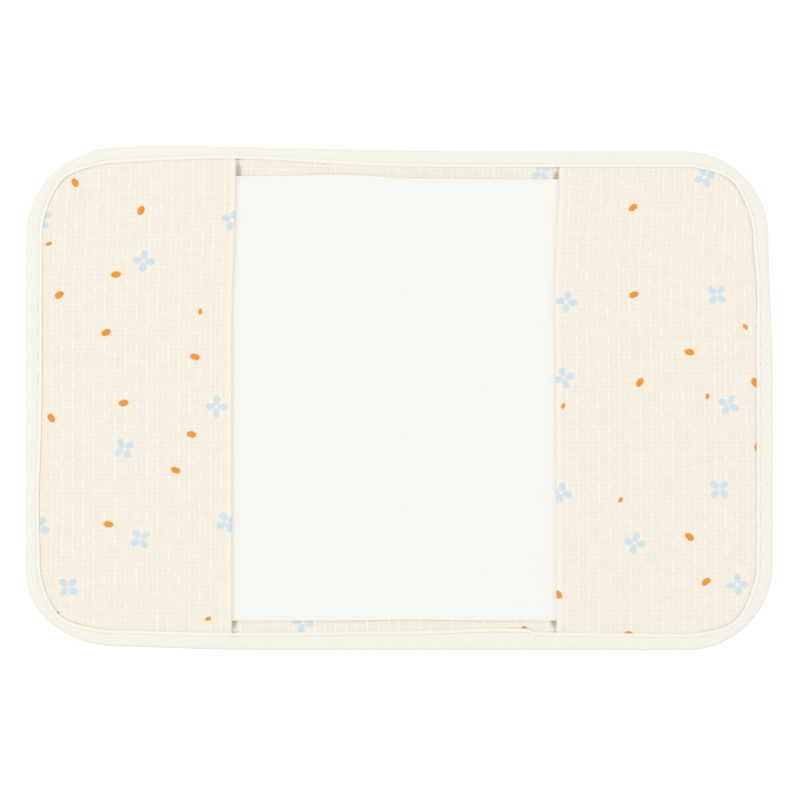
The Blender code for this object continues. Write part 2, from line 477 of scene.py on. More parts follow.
def lattice(look, x, y, pitch, wander):
    """Places scattered on a half-drop lattice: the offset from the nearest and its random numbers."""
    across = x / pitch[0]
    column = across.math("FLOOR")
    down = y / pitch[1] + 0.5 * column.math("FLOORED_MODULO", 2)
    row = down.math("FLOOR")
    chance = look.chance(column, row)
    off_x = (across - column - 0.5 - wander * (chance[0] - 0.5)) * pitch[0]
    off_y = (down - row - 0.5 - wander * (chance[1] - 0.5)) * pitch[1]
    return off_x, off_y, chance


def near_blossom(look, x, y):
    """The offset from the nearest flower, the distance to it and its random numbers."""
    off_x, off_y, chance = lattice(look, x, y, BLOSSOM_PITCH, 0.45)
    return off_x, off_y, (off_x * off_x + off_y * off_y) ** 0.5, chance


def blossoms(look, x, y):
    """Four-petalled flowers, about a centimetre across, with an open eye. Some places stay empty."""
    off_x, off_y, reach, chance = near_blossom(look, x, y)
    angle = off_y.math("ARCTAN2", off_x) + PETAL_SPIN * chance[2]
    petal = (2 * angle).math("COSINE").math("ABSOLUTE") ** 0.7
    outer = look.ramp(-0.3 * MM, 0.3 * MM, PETAL_REACH * petal - reach)
    eye = look.ramp(0.7 * MM, 1.2 * MM, reach)
    return outer * eye * (chance[0] + chance[1]).math("GREATER_THAN", 0.75)


def seeds(look, x, y):
    """Small warm seeds, of two sizes, lying every way, clear of the flowers. Some places stay empty."""
    off_x, off_y, chance = lattice(look, x + SEED_START[0], y + SEED_START[1], SEED_PITCH, 0.6)
    angle = 9 * (chance[0] + chance[1])
    cosine = angle.math("COSINE")
    sine = angle.math("SINE")
    along = off_x * cosine + off_y * sine
    across = off_y * cosine - off_x * sine
    reach = ((along / 1.5) ** 2 + across**2) ** 0.5
    radius = SMALL_SEED + (LARGE_SEED - SMALL_SEED) * chance[2].math("GREATER_THAN", 0.3)
    shape = look.ramp(-0.25 * MM, 0.25 * MM, radius - reach)
    clear = near_blossom(look, x - off_x, y - off_y)[2].math("GREATER_THAN", SEED_TO_BLOSSOM)
    return shape * clear * (chance[0] - chance[1]).math("GREATER_THAN", -0.2)


def weave_light_and_tone(look, place, sizes):
    """Lightness of the waffle weave, painted light and shade with some random unevenness: a pale upright
    float in each cell, fainter level ones and darker hollows.
    """
    wander = 1.2 * MM
    x, y, _ = look.parts(place)
    x = x + wander * (look.clouds(place, 14 * MM) - 0.5)
    y = y + wander * (look.clouds(place, 17 * MM) - 0.5)
    column = (x / sizes.waffle_width + 0.5).math("FLOOR")
    row = (y / sizes.waffle_height).math("FLOOR")
    chance = look.chance(column, row)
    drift = 0.3 * (chance[1] - 0.5) * sizes.waffle_height
    dash = look.bars(y + drift, sizes.waffle_height, 0.55, 0.5) * (0.1 + 1.0 * chance[0] ** 2)
    upright = look.bars(x, sizes.waffle_width, 0.19) * (0.4 + dash)
    between = look.bars(x, sizes.waffle_width, 0.16, 0.5) * (0.3 + 0.7 * chance[2])
    fine = look.bars(x, sizes.waffle_width / 4, 0.45) * look.clouds(place, 2.5 * MM)
    level = look.bars(y, sizes.waffle_height, 0.26) + 0.6 * look.bars(y, sizes.waffle_height, 0.22, 0.5)
    return 0.42 * upright + 0.2 * between + 0.2 * fine + 0.17 * level


def waffle_cloth(name, sizes, colours, cut_from, fold_press_and_highlight=0.0):
    """Printed waffle cotton: floats painted pale and hollows painted darker as the light and shade of the
    weave, uneven yarn, seed flecks and a small sparse print.

    A cloth that is folded where its flat map has x = 0 can be pressed smooth there and painted paler, a
    painted highlight where the fold catches light.
    """
    yarns = 12
    look = new_material(name)
    place = look.flat()
    x, y, _ = look.parts(place)
    weave = weave_light_and_tone(look, place, sizes)
    mottle = look.clouds(place, 7 * MM, 4.0)
    grain = look.clouds(place, 1.6 * MM)
    tone = 0.28 + weave + 0.5 * (mottle - 0.5) + 0.6 * (grain - 0.5)
    if fold_press_and_highlight:
        # Painted highlight: by the fold the weave is evened out and made paler
        fold = fold_press_and_highlight * (1 - look.ramp(1.6 * MM, 3 * MM, x.math("ABSOLUTE")))
        tone = tone + fold * (0.75 - tone)
    # Painted shade in the weave's hollows and painted light on its floats
    ground = look.mix(tone, colours.hollow_shade, colours.cloth)
    flecks = look.ramp(0.735, 0.78, look.clouds(place, 1.1 * MM, 1.0))
    ground = look.mix(0.4 * flecks, ground, colours.fleck)
    bleed = 0.9 * MM * (grain - 0.5)
    print_x = x + cut_from[0] + bleed
    print_y = y + cut_from[1] - bleed
    wash = 1 + 0.8 * (look.clouds(place, 3 * MM) - 0.5) - 0.4 * weave + 0.6 * (grain - 0.5)
    ground = look.mix(blossoms(look, print_x, print_y) * wash, ground, colours.blossom)
    ground = look.mix(seeds(look, print_x, print_y) * (1.1 - 0.3 * weave), ground, colours.seed)
    yarn_x = (x * (yarns * TURN / sizes.waffle_width)).math("SINE")
    yarn_y = (y * (yarns * TURN / sizes.waffle_height)).math("SINE")
    fuzz = look.clouds(place, 0.6 * MM, 3.0)
    relief = look.bump(0.6 * (yarn_x * yarn_y) + 1.4 * fuzz, 0.018 * MM)
    roughness = 0.82 + 0.2 * (mottle - 0.5)
    return look.finish({"Base Color": ground, "Roughness": roughness, "Sheen Weight": 0.08, "Normal": relief})


def bias_tape(sizes, colours):
    """Plain cotton cut on the bias, so that its threads run slantwise. Where it is doubled, by its turned
    edge, it is painted paler as a highlight on the raised fold.
    """
    look = new_material("bias_tape")
    place = look.flat()
    x, y, _ = look.parts(place)
    slant = TURN / (0.5 * MM)
    yarn = ((x + y) * slant).math("SINE") * ((x - y) * slant).math("SINE")
    mottle = look.clouds(place, 4 * MM, 4.0)
    fuzz = look.clouds(place, 0.5 * MM, 3.0)
    tone = 0.6 + 0.9 * (mottle - 0.5) + 0.3 * (fuzz - 0.5)
    ground = look.mix(tone, dimmed(colours.tape, 0.95), colours.tape)
    # Painted highlight along the turned edge, up to the stitches
    turned_edge_highlight = 1 - look.ramp(sizes.stitch_inset * 0.7, sizes.stitch_inset, y.math("ABSOLUTE"))
    ground = look.mix(0.45 * turned_edge_highlight, ground, dimmed(colours.tape, 1.05))
    relief = look.bump(0.4 * yarn + 1.2 * fuzz, 0.016 * MM)
    roughness = 0.8 + 0.2 * (mottle - 0.5)
    return look.finish({"Base Color": ground, "Roughness": roughness, "Sheen Weight": 0.08, "Normal": relief})


def sewing_thread(colours):
    """Two-ply cotton thread: the ply shows as slanting bands, in the bump and as painted shade between the
    plies.
    """
    look = new_material("sewing_thread")
    place = look.flat()
    x, y, _ = look.parts(place)
    ply = ((x * 2.2 + y) * (TURN / (0.7 * MM))).math("SINE")
    # Painted shade in the grooves between the plies
    ground = look.mix(0.6 + 0.4 * ply, dimmed(colours.thread, 0.94), colours.thread)
    relief = look.bump(ply, 0.05 * MM)
    return look.finish({"Base Color": ground, "Roughness": 0.62 + 0.08 * ply, "Normal": relief})


def insert_paper(colours):
    """Smooth uncoated paper with faint clouding."""
    look = new_material("insert_paper")
    place = look.flat()
    cloud = look.clouds(place, 18 * MM, 3.0)
    tooth = look.clouds(place, 0.5 * MM, 4.0)
    ground = look.mix(0.6 + 0.8 * (cloud - 0.5), dimmed(colours.paper, 0.985), colours.paper)
    relief = look.bump(tooth, 0.01 * MM)
    return look.finish({"Base Color": ground, "Roughness": 0.62 + 0.2 * (tooth - 0.5), "Normal": relief})


def wadding_fibre(colours):
    """Matted fibre, with strands that run slantwise."""
    look = new_material("wadding_fibre")
    place = look.flat()
    x, y, _ = look.parts(place)
    strands = look.clouds(look.join(x * 3 + y, y - x), 4 * MM, 6.0)
    ground = look.mix(strands, dimmed(colours.fibre, 0.85), colours.fibre)
    relief = look.bump(strands, 0.3 * MM)
    return look.finish({"Base Color": ground, "Roughness": 0.9 + 0.1 * (strands - 0.5), "Normal": relief})


# The pockets' mouths and the binding's route and section


def pocket_lip(side, y):
    """Where a pocket's folded mouth lies across the cover. The mouths are a little askew."""
    if side == "left":
        return -(POCKET_MOUTH + 2.0 * MM - 1.9 * MM * smooth(30 * MM, 105 * MM, y))
    bow = 0.5 * MM * bell(y - 20 * MM, 50 * MM)
    return POCKET_MOUTH - 2.8 * MM - bow + 2.1 * MM * smooth(45 * MM, 110 * MM, y)


def past_lip(x, y):
    """How far points lie from a pocket's mouth towards the cover's middle."""
    return np.where(x < 0, x - pocket_lip("left", y), pocket_lip("right", y) - x)


class EdgeRoute:
    """The cover's edge, anticlockwise from the middle of the foot, by distance along it."""

    def __init__(self, radius):
        self.corner = HALF_WIDTH - radius
        points = [(0, -HALF_HEIGHT)]
        normals = [(0, 1)]
        for quarter, (sign_x, sign_y) in enumerate(((1, -1), (1, 1), (-1, 1), (-1, -1))):
            for angle in np.radians(np.linspace(-90, 0, 61) + 90 * quarter):
                out_x = math.cos(angle)
                out_y = math.sin(angle)
                centre_x = sign_x * self.corner
                centre_y = sign_y * (HALF_HEIGHT - radius)
                points.append((centre_x + radius * out_x, centre_y + radius * out_y))
                normals.append((-out_x, -out_y))
        self.points = np.array([*points, points[0]])
        self.normals = np.array([*normals, normals[0]])
        steps = np.hypot(*np.diff(self.points, axis=0).T)
        self.marks = np.concatenate([[0], np.cumsum(steps)])
        self.length = self.marks[-1]

    def at(self, distance, values):
        wrapped = np.mod(distance, self.length)
        return np.stack([np.interp(wrapped, self.marks, values[:, axis]) for axis in range(2)], axis=-1)

    def place(self, distance):
        return self.at(distance, self.points)

    def inward(self, distance):
        normal = self.at(distance, self.normals)
        return normal / np.linalg.norm(normal, axis=-1, keepdims=True)

    def inside(self, distance, inset):
        """Points that lie in from the edge by an inset, as x and y."""
        moved = self.place(distance) + self.inward(distance) * inset[..., None]
        return moved[..., 0], moved[..., 1]

    def nearest(self, x, y):
        """Distance along the edge to the place on it that lies nearest."""
        stations = np.arange(0, self.length, 1 * MM)
        tree = kdtree.KDTree(len(stations))
        for number, place in enumerate(self.place(stations)):
            tree.insert((*place, 0), number)
        tree.balance()
        found = [tree.find((*point, 0))[1] for point in zip(x.flat, y.flat)]
        return stations[found].reshape(x.shape)


# Where the hand-sewn binding is wider or narrower than usual: the place along it and how far that reaches, as
# shares of its length anticlockwise from the middle of the foot, and the change as a share of its usual width
TAPE_WANDER = (
    (0.010, 0.065, 0.15),
    (0.148, 0.011, -0.25),
    (0.298, 0.018, -0.17),
    (0.352, 0.011, -0.24),
    (0.567, 0.038, -0.26),
    (0.648, 0.011, -0.25),
    (0.795, 0.028, -0.17),
    (0.852, 0.011, -0.25),
)

# Where the binding's two ends lap, and by how much the upper one lies higher
JOIN_AT = 64.5 * MM
OVERLAP = 11 * MM
LAP_RISE = 0.36 * MM


class Tape:
    """The binding's section at each distance along it, from its first end to the last, which laps over."""

    def __init__(self, sizes):
        self.sizes = sizes
        self.route = EdgeRoute(sizes.corner_radius)
        self.start = JOIN_AT - OVERLAP
        self.end = JOIN_AT + self.route.length

    def on_top(self, distance):
        """The distance along the tape of what lies on top there: near the join, that is its last stretch."""
        return np.where(distance < JOIN_AT, distance + self.route.length, distance)

    def width(self, distance):
        """Width of the upper or lower face, which spreads a little before the join."""
        share = distance / self.route.length
        wander = 0.2 * smooth(self.end - 60 * MM, self.end - 14 * MM, distance)
        wander = wander * smooth(self.end, self.end - 5 * MM, distance)
        for place, reach, change in TAPE_WANDER:
            away = np.mod(share - place + 0.5, 1) - 0.5
            wander = wander + change * bell(away, reach)
        return self.sizes.tape_width * (1 + wander)

    def past_edge(self, x, y):
        """How far points lie inside the binding's inner edge."""
        width = self.width(self.on_top(self.route.nearest(x, y)))
        return edge_inset(x, y, self.sizes.corner_radius) - width

    def top(self, distance):
        """Height of the upper face, which steps down between the pockets."""
        place = self.route.place(distance)
        low = smooth(-1 * MM, 4 * MM, past_lip(place[..., 0], place[..., 1]))
        return TAPE_HIGH - self.sizes.tape_drop * low

    def lap(self, distance):
        """How far the tape's last stretch lies above its first, with its very end pressed down."""
        rise = smooth(self.end - OVERLAP - 7 * MM, self.end - OVERLAP, distance)
        return LAP_RISE * rise * (1 - 0.75 * smooth(self.end - 3 * MM, self.end, distance))

    def groove(self, distance, inset):
        """How far the stitches pull the face down, most at the needle holes."""
        from_line = inset - self.width(distance) + self.sizes.stitch_inset
        hole = 0.5 + 0.5 * np.cos(TURN * distance / self.sizes.stitch_pitch)
        return (0.08 + 0.02 * hole) * MM * bell(from_line, 0.6 * MM)

    def sections(self, stations):
        """Grids over the stations and once round the section: distance, inset, height and distance across.

        The distance across counts from the turned edge on the upper face.
        """
        roll = self.sizes.tape_turn / 2
        bend = 1.6 * MM
        turned_under = 2.5 * MM
        fold = np.radians(np.linspace(90, -90, 7))
        edge = np.radians(np.linspace(0, 180, 13))[1:-1]
        width = self.width(stations)[:, None]
        high = self.top(stations)[:, None]
        middle = (TAPE_LOW + high) / 2
        inner = width - roll - turned_under * np.array([1, 0.5])
        fold_inset = width - roll + roll * np.cos(fold)
        fold_rise = roll * np.sin(fold) + 0 * width
        face = bend + (width - roll - bend) * np.linspace(0, 1, 12)
        strips = (
            (inner, TAPE_LOW + 2 * roll + 0 * inner),
            (fold_inset, TAPE_LOW + roll + fold_rise),
            (face[:, ::-1], TAPE_LOW + 0 * face),
            (bend * (1 - np.sin(edge)) + 0 * width, middle - (high - TAPE_LOW) / 2 * np.cos(edge)),
            (face, high + 0 * face),
            (fold_inset, high - roll + fold_rise),
            (inner[:, ::-1], high - 2 * roll + 0 * inner),
        )
        inset, z = (np.concatenate(grids, axis=1) for grids in zip(*strips))
        along = np.broadcast_to(stations[:, None], inset.shape)
        z = z + self.surface(along, inset, z, high)
        steps = np.hypot(np.diff(inset, axis=1), np.diff(z, axis=1))
        across = np.concatenate([np.zeros((len(stations), 1)), np.cumsum(steps, axis=1)], axis=1)
        upper_fold = across.shape[1] - inner.shape[1] - fold.size // 2 - 1
        return along, inset, z, across - across[:, upper_fold, None]

    def surface(self, along, inset, z, high):
        """The stitched groove and slight puckers on the upper face, and the same, upside down, underneath."""
        middle = (TAPE_LOW + high) / 2
        upper = smooth(middle, high - 0.3 * MM, z)
        under = smooth(middle, TAPE_LOW + 0.3 * MM, z)
        corner = smooth(0, 25 * MM, np.abs(self.route.place(along)[..., 0]) - self.route.corner)
        pucker = ripple(along, inset * 0.3, 5.5 * MM, seed=41) * (0.04 + 0.1 * corner) * MM
        swell = 0.16 * MM * np.sin(math.pi * np.clip(inset / self.sizes.tape_width, 0, 1))
        rise = pucker + swell - self.groove(along, inset)
        return (upper - under) * rise * smooth(0, 2.5 * MM, inset)


# The pieces


def cover_sheet(name, columns, rows, tape, height, map_shift=(0, 0)):
    """One of the cover's full-size layers, trimmed inside the seam.

    Its heights come from a point's place and from how far that lies inside the binding's inner edge.
    """
    x, y = np.meshgrid(columns, rows)
    flat = np.stack([x + map_shift[0], y + map_shift[1]], axis=-1)
    x, y, inside = drawn_in(x, y, CLOTH_TRIM, tape.sizes.corner_radius)
    z = height(x, y, tape.past_edge(x, y))
    x, y = as_laid(x, y)
    return grid_object(name, x, y, z, flat, inside)


def rounded_area(flat, sizes):
    """Area of a flat cut without what its four rounded corners take off."""
    return flat[0] * flat[1] - (4 - math.pi) * (sizes.corner_radius - CLOTH_TRIM) ** 2


def declare_layer(sizes):
    """Works out the area of a full-size layer, cut to the cover's outline less the trim, and does nothing
    with it.
    """
    flat = (2 * (HALF_WIDTH - CLOTH_TRIM), 2 * (HALF_HEIGHT - CLOTH_TRIM))
    area = rounded_area(flat, sizes)


def tucked(x, past):
    """How far below the binding's face a cloth lies where the seam pulls it down, most along the sides."""
    at_side = smooth(115 * MM, 150 * MM, np.abs(x))
    pull = blend_value(at_side, 0.48 * MM, 0.61 * MM)
    return 0.05 * MM + pull * smooth(1.0 * MM, 0, past)


def mouth_dip(x, y, past, spread):
    """How far the layers sink beside the ends of the pockets' mouths: a pit that narrows towards the seam."""
    open_share = smooth(0, 5 * MM, past)
    under_share = smooth(INSERT_HALF_HEIGHT - 5 * MM - spread, INSERT_HALF_HEIGHT - spread, np.abs(y))
    beside = bell(past_lip(x, y) - 0.5 * MM, 0.5 * MM + 1.0 * MM * open_share + spread)
    return 2.2 * MM * beside * open_share * under_share


class COVER_OT_outer_cover(bpy.types.Operator):
    """Printed waffle cloth under the cover, swelling below its bound edge"""

    bl_idname = "cover.outer_cover"
    bl_label = "Outer cover"
    bl_options = UNDOABLE

    def execute(self, context):
        sizes = context.scene.cover_sizes
        columns = spaced(-HALF_WIDTH, HALF_WIDTH, sizes.waffle_width / 4)
        rows = spaced(-HALF_HEIGHT, HALF_HEIGHT, sizes.waffle_height / 4)

        def height(x, y, past):
            loft = smooth(0, PADDED_LOFT, past)
            relief = waffle(x, y, sizes) * smooth(0, RELIEF_RUN, past)
            return blend_value(loft, TAPE_LOW + 0.1 * MM, OUTER_LOW + sizes.waffle_depth) - relief

        piece = cover_sheet("outer_cover", columns, rows, Tape(sizes), height)
        piece.data.flip_normals()
        bend_at_fold(piece)
        cloth = waffle_cloth("outer_cloth", sizes, context.scene.cover_colours, OUTER_PRINT)
        finish_piece(piece, cloth, "outer_cloth", *both("outer_panel"))
        declare_layer(sizes)
        return {"FINISHED"}


class COVER_OT_wadding(bpy.types.Operator):
    """Fibre sheet between the outer cover and the lining"""

    bl_idname = "cover.wadding"
    bl_label = "Wadding"
    bl_options = UNDOABLE

    def execute(self, context):
        sizes = context.scene.cover_sizes
        step = 3 * MM
        clear = 0.1 * MM
        pressed_low = OUTER_EDGE_HIGH + 0.35 * MM
        pressed_high = LINING_EDGE_LOW - 0.35 * MM
        columns = spaced(-HALF_WIDTH, HALF_WIDTH, step)
        rows = spaced(-HALF_HEIGHT, HALF_HEIGHT, step)

        def top(x, y, past):
            loft = smooth(0, PADDED_LOFT, past)
            full = WADDING_HIGH - clear + 0.08 * MM * ripple(x, y, 24 * MM, seed=5)
            return blend_value(loft, pressed_high, full) - mouth_dip(x, y, past, 3 * MM)

        tape = Tape(sizes)
        piece = cover_sheet("wadding_sheet", columns, rows, tape, top)
        upper = len(piece.data.vertices)
        thicken(piece, 0.5 * MM)
        lower = piece.data.vertices[upper:]
        past = tape.past_edge(*np.array([vertex.co.xy for vertex in lower]).T)
        for vertex, loft in zip(lower, smooth(0, PADDED_LOFT, past)):
            vertex.co.z = blend_value(loft, pressed_low, WADDING_LOW + clear)
        bend_at_fold(piece)
        fibre = wadding_fibre(context.scene.cover_colours)
        finish_piece(piece, fibre, "wadding_fibre", *both("wadding"))
        return {"FINISHED"}


class COVER_OT_lining(bpy.types.Operator):
    """Waffle cloth inside the cover, which shows above and below the sheet"""

    bl_idname = "cover.lining"
    bl_label = "Lining"
    bl_options = UNDOABLE

    def execute(self, context):
        sizes = context.scene.cover_sizes
        coarse = 5 * MM
        shown_x = POCKET_MOUTH + 5 * MM
        shown_y = INSERT_HALF_HEIGHT - 7 * MM
        side = spaced(shown_x, HALF_WIDTH, coarse)[1:]
        end = spaced(shown_y, HALF_HEIGHT, sizes.waffle_height / 8)[1:]
        between = spaced(-shown_x, shown_x, sizes.waffle_width / 8)
        columns = np.concatenate([-side[::-1], between, side])
        rows = np.concatenate([-end[::-1], spaced(-shown_y, shown_y, coarse), end])

        def height(x, y, past):
            loft = smooth(0, CLOTH_LOFT, past)
            seam = TAPE_HIGH - sizes.tape_drop - tucked(x, past)
            shown = smooth(shown_y - MM, shown_y + MM, np.abs(y)) * smooth(shown_x, shown_x - MM, np.abs(x))
            relief = waffle(x, y, sizes) * smooth(0, RELIEF_RUN, past) * shown
            return blend_value(loft, seam, LINING_HIGH - 0.15 * MM) + relief - mouth_dip(x, y, past, 0)

        piece = cover_sheet("lining_cloth", columns, rows, Tape(sizes), height, LINING_MAP)
        bend_at_fold(piece)
        cloth = waffle_cloth("lining_cloth", sizes, context.scene.cover_colours, LINING_PRINT)
        finish_piece(piece, cloth, "lining_cloth", *both("lining"))
        declare_layer(sizes)
        return {"FINISHED"}


class COVER_OT_insert_sheet(bpy.types.Operator):
    """Plain sheet with one crease, its ends slipped into the pockets"""

    bl_idname = "cover.insert_sheet"
    bl_label = "Insert sheet"
    bl_options = UNDOABLE

    def execute(self, context):
        sizes = context.scene.cover_sizes
        coarse = 2 * MM
        fine = 0.5 * MM
        near_fold = 9 * MM
        side = spaced(near_fold, INSERT_HALF_LENGTH, coarse)[1:]
        columns = np.concatenate([-side[::-1], spaced(-near_fold, near_fold, fine), side])
        rows = spaced(-INSERT_HALF_HEIGHT, INSERT_HALF_HEIGHT, coarse)
        x, y = np.meshgrid(columns, rows)
        flat = np.stack([x, y], axis=-1)
        z = INSERT_HIGH - 0.1 * MM + self.lift(x, y)
        y = y + self.uneven_cut(x, y)
        piece = grid_object("insert_sheet", x, y, z, flat)
        thicken(piece, sizes.paper)
        bend_at_fold(piece)
        finish_piece(piece, insert_paper(context.scene.cover_colours), "insert_paper", *both("insert_leaf"))
        return {"FINISHED"}

    def lift(self, x, y):
        """How the sheet bows and curls where no pocket holds it, and dips along its crease."""
        crease_at = 1.7 * MM
        open_share = smooth(POCKET_MOUTH, POCKET_MOUTH - 45 * MM, np.abs(x))
        bow = 0.12 * MM * ripple(x, y, 120 * MM, seed=12)
        curl = 0.3 * MM * smooth(INSERT_HALF_HEIGHT - 25 * MM, INSERT_HALF_HEIGHT, np.abs(y))
        crease = 0.12 * MM * bell(x - crease_at, 1.3 * MM)
        return open_share * (bow + curl) - crease

    def uneven_cut(self, x, y):
        """How far the sheet's head and foot stray from straight lines."""
        head_share = np.clip(y / INSERT_HALF_HEIGHT, 0, 1)
        foot_share = np.clip(-y / INSERT_HALF_HEIGHT, 0, 1)
        hump = 0.55 * MM * bell(x + 32 * MM, 14 * MM)
        head = hump - 1.0 * MM * smooth(-16 * MM, 2 * MM, x) - 0.6 * MM * smooth(2 * MM, 57 * MM, x)
        foot = 0.2 * MM + 0.5 * MM * bell(x - 6 * MM, 20 * MM)
        return head_share * head + foot_share * foot


class COVER_OT_pockets(bpy.types.Operator):
    """Two side pockets of doubled waffle cloth, folded at the mouth and caught in the binding"""

    bl_idname = "cover.pockets"
    bl_label = "Pockets"
    bl_options = UNDOABLE

    def execute(self, context):
        sizes = context.scene.cover_sizes
        colours = context.scene.cover_colours
        for side, body in (("left", LEFT), ("right", RIGHT)):
            piece = self.pocket(side, sizes)
            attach(piece, body)
            cut_from = POCKET_PRINTS[side]
            cloth = waffle_cloth(f"pocket_cloth_{side}", sizes, colours, cut_from, fold_press_and_highlight=0.8)
            finish_piece(piece, cloth, "pocket_cloth", f"pocket_{side}")
            flat = (2 * (HALF_WIDTH - CLOTH_TRIM - POCKET_MOUTH), 2 * (HALF_HEIGHT - CLOTH_TRIM))
            area = rounded_area(flat, sizes)
        return {"FINISHED"}

    def pocket(self, side, sizes):
        """A pocket's cloth, from the seam over its top to the mouth, round the fold and back underneath."""
        roll = sizes.pocket_roll / 2
        rounding = roll * (1 if side == "left" else 1.9)
        depth, drop, travel, on_top = self.course(roll, rounding, sizes)
        rows = spaced(-HALF_HEIGHT, HALF_HEIGHT, sizes.waffle_height / 8)
        depth, y = np.meshgrid(depth, rows)
        drop, travel, on_top = (np.broadcast_to(values, y.shape) for values in (drop, travel, on_top))
        flat = np.stack([travel, y], axis=-1)
        x = pocket_lip(side, y) + (-depth if side == "left" else depth)
        x, y, inside = drawn_in(x, y, CLOTH_TRIM, sizes.corner_radius)
        past = Tape(sizes).past_edge(x, y)
        loft = smooth(0, CLOTH_LOFT, past)
        level = POCKET_HIGH - 0.4 * MM
        lift = INSERT_HIGH + 2 * roll - level
        z = blend_value(loft, TAPE_HIGH - tucked(x, past), level)
        z = z + loft * (lift * np.exp(-depth / (8 * MM)) + 0.1 * MM * ripple(x, y, 45 * MM, seed=21))
        relief = waffle(travel, y, sizes) * smooth(0, RELIEF_RUN, past)
        pressed = smooth(2 * MM, 12 * MM, depth) + (1 - loft) * smooth(0, 2 * MM, depth)
        drop = drop * blend_value(np.clip(pressed, 0, 1), 1, sizes.pocket_thickness / (2 * roll))
        drop = drop * blend_value(loft, 0.6, 1)
        z = z + relief * on_top * smooth(0.6 * MM, 3 * MM, depth) - drop
        x, y = as_laid(x, y)
        piece = grid_object(f"pocket_cloth_{side}", x, y, z, flat, inside)
        if side == "right":
            piece.data.flip_normals()
        return piece

    def course(self, roll, rounding, sizes):
        """Stations over the top, round the fold and back underneath.

        They are given as depth inside the mouth, drop below the top, distance travelled from the fold, and
        1 for the stations on top.
        """
        deepest = HALF_WIDTH - POCKET_MOUTH + 3 * MM
        top = spaced(deepest, rounding, sizes.waffle_width / 8)
        turn = np.linspace(0, math.pi, 13)[1:-1]
        under = rounding + (deepest - rounding) * np.linspace(0, 1, 14) ** 1.6
        depth = np.concatenate([top, rounding * (1 - np.sin(turn)), under])
        drop = np.concatenate([0 * top, roll * (1 - np.cos(turn)), 2 * roll + 0 * under])
        travel = np.concatenate([top, rounding * (1 - 2 * turn / math.pi), -under])
        on_top = np.concatenate([1 + 0 * top, 0 * turn, 0 * under])
        return depth, drop, travel, on_top


class COVER_OT_binding(bpy.types.Operator):
    """Bias tape folded over the raw edge all round and topstitched, with an overlap join at the foot"""

    bl_idname = "cover.binding"
    bl_label = "Binding"
    bl_options = UNDOABLE

    def execute(self, context):
        sizes = context.scene.cover_sizes
        tape = Tape(sizes)
        stations = spaced(tape.start, tape.end, sizes.stitch_pitch / 4)
        along, inset, z, across = tape.sections(stations)
        raised = smooth(TAPE_LOW + MM, TAPE_LOW + 3 * MM, z)
        z = z + tape.lap(along) * (2 * raised - 1)
        x, y = as_laid(*tape.route.inside(along, inset))
        flat = np.stack([along, across], axis=-1)
        piece = grid_object("binding_tape", x, y, z, flat)
        piece.data.flip_normals()
        bend_at_fold(piece)
        cotton = bias_tape(sizes, context.scene.cover_colours)
        finish_piece(piece, cotton, "binding_tape", *both("binding"))
        return {"FINISHED"}


class COVER_OT_stitching(bpy.types.Operator):
    """Lockstitches along the binding: needle thread on top, bobbin thread underneath"""

    bl_idname = "cover.stitching"
    bl_label = "Stitching"
    bl_options = UNDOABLE

    def execute(self, context):
        sizes = context.scene.cover_sizes
        tape = Tape(sizes)
        thread = sewing_thread(context.scene.cover_colours)
        for kind, up in (("needle", 1), ("bobbin", -1)):
            piece = self.stitches(f"{kind}_stitches", tape, up)
            bend_at_fold(piece)
            finish_piece(piece, thread, "seam_thread", *both(f"binding_{kind}_thread"))
        return {"FINISHED"}

    def stitches(self, name, tape, up):
        """Short arched lengths of thread, each from one needle hole to the next, thinner at their ends."""
        sizes = tape.sizes
        hole_share = 0.035
        shown_share = 0.93
        sunk = 0.24 * MM
        raised = 0.18 * MM
        count = round(tape.route.length / sizes.stitch_pitch)
        share = np.linspace(0, 1, 9)
        sides = np.linspace(0, TURN, 9)[:-1]
        starts = np.arange(count)[:, None] * (tape.route.length / count)
        along = tape.on_top(starts + (hole_share + shown_share * share) * sizes.stitch_pitch)
        line = tape.width(along) - sizes.stitch_inset
        arch = np.sin(math.pi * share)
        face = tape.top(along) if up > 0 else TAPE_LOW + 0 * along
        height = face + up * (tape.lap(along) - sunk + raised * arch**0.5)
        girth = sizes.thread / 2 * (0.6 + 0.4 * np.clip(arch * 2, 0, 1))
        inset = line[..., None] + girth[:, None] * np.cos(sides)
        along = np.broadcast_to(along[..., None], inset.shape)
        x, y = as_laid(*tape.route.inside(along, inset))
        z = height[..., None] + girth[:, None] * np.sin(sides)
        index = np.arange(z.size).reshape(z.shape)
        ahead = np.roll(index, -1, axis=2)
        quads = np.stack([index[:, :-1], ahead[:, :-1], ahead[:, 1:], index[:, 1:]], axis=-1).reshape(-1, 4)
        caps = np.concatenate([index[:, 0, ::-1], index[:, -1]])
        points = np.stack([x, y, z], axis=-1).reshape(-1, 3)
        round_it = np.broadcast_to(sides * sizes.thread / 2, z.shape)
        flat = np.stack([along, round_it], axis=-1).reshape(-1, 2)
        return mesh_object(name, points, quads.tolist() + caps.tolist(), flat)


